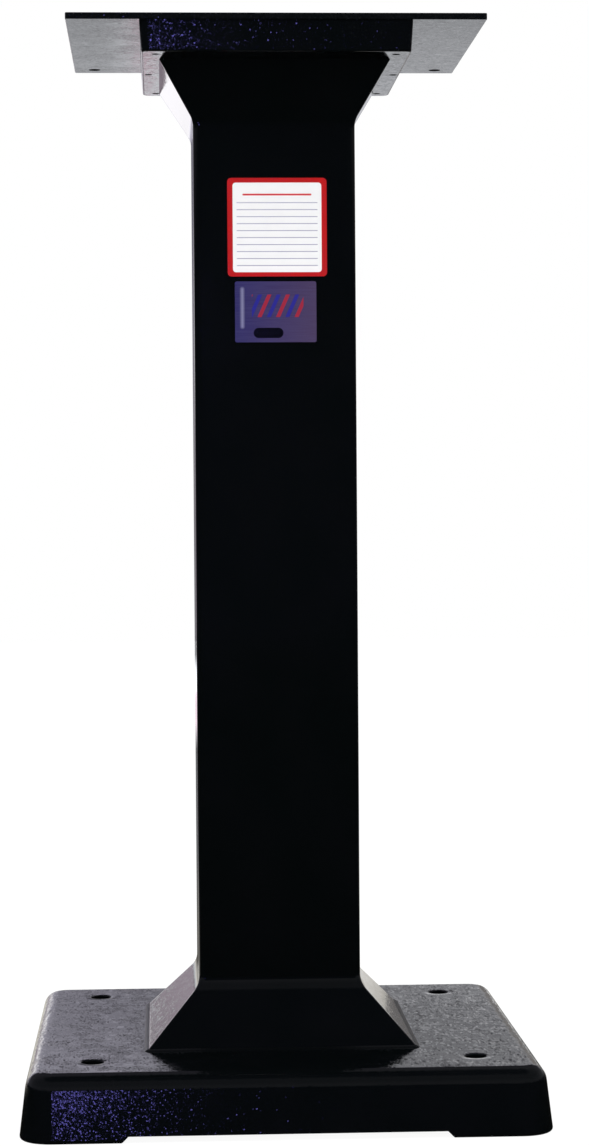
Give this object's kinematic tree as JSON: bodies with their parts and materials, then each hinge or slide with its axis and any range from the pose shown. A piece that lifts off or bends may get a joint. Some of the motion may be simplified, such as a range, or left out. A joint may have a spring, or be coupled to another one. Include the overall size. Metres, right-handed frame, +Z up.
{
  "type": "bench grinder stand",
  "caption": "Pedestal stand for a bench grinder: square steel column flared at both ends, on a cast iron foot with anchor holes, under a flat mounting plate.",
  "frame": {"origin": "centre of the footprint, on the floor", "axes": "+Z up along the column, -Y towards the front with the notice card, +X to the right seen from the front"},
  "size_m": [0.3844, 0.3844, 0.813],
  "materials": {
    "foot_iron": "glossy black paint over cast iron, fine orange-peel texture",
    "head_iron": "glossy black paint over cast iron, fine orange-peel texture",
    "column_paint": "glossy black textured paint on steel plate",
    "weld_paint": "ground weld under glossy black paint",
    "plate_paint": "glossy black textured paint on flat steel plate",
    "bead_paint": "thin painted bead",
    "flange_steel": "thin black primer on steel",
    "zinc_steel": "bright zinc plated",
    "screw_steel": "black oxide",
    "card_vinyl": "white vinyl with a red border, blank",
    "foil_film": "brushed silver foil with plain stripes, blank"
  },
  "bodies": {
    "root": {"base_casting": "foot_iron", "head_casting": "head_iron", "top_plate": "plate_paint", "column_front_plate": "column_paint", "column_back_plate": "column_paint", "column_left_plate": "column_paint", "column_right_plate": "column_paint", "column_corner_welds": "weld_paint", "foot_flange": "flange_steel", "head_flange": "flange_steel", "foot_flange_weld": "flange_steel", "head_flange_weld": "flange_steel", "foot_bead": "bead_paint", "foot_bolts": "zinc_steel", "foot_flat_washers": "zinc_steel", "foot_lock_washers": "zinc_steel", "head_bolts": "zinc_steel", "head_flat_washers": "zinc_steel", "head_lock_washers": "zinc_steel", "plate_screws": "screw_steel", "notice_card": "card_vinyl", "foil_plate": "foil_film"}
  },
  "joints": []
}
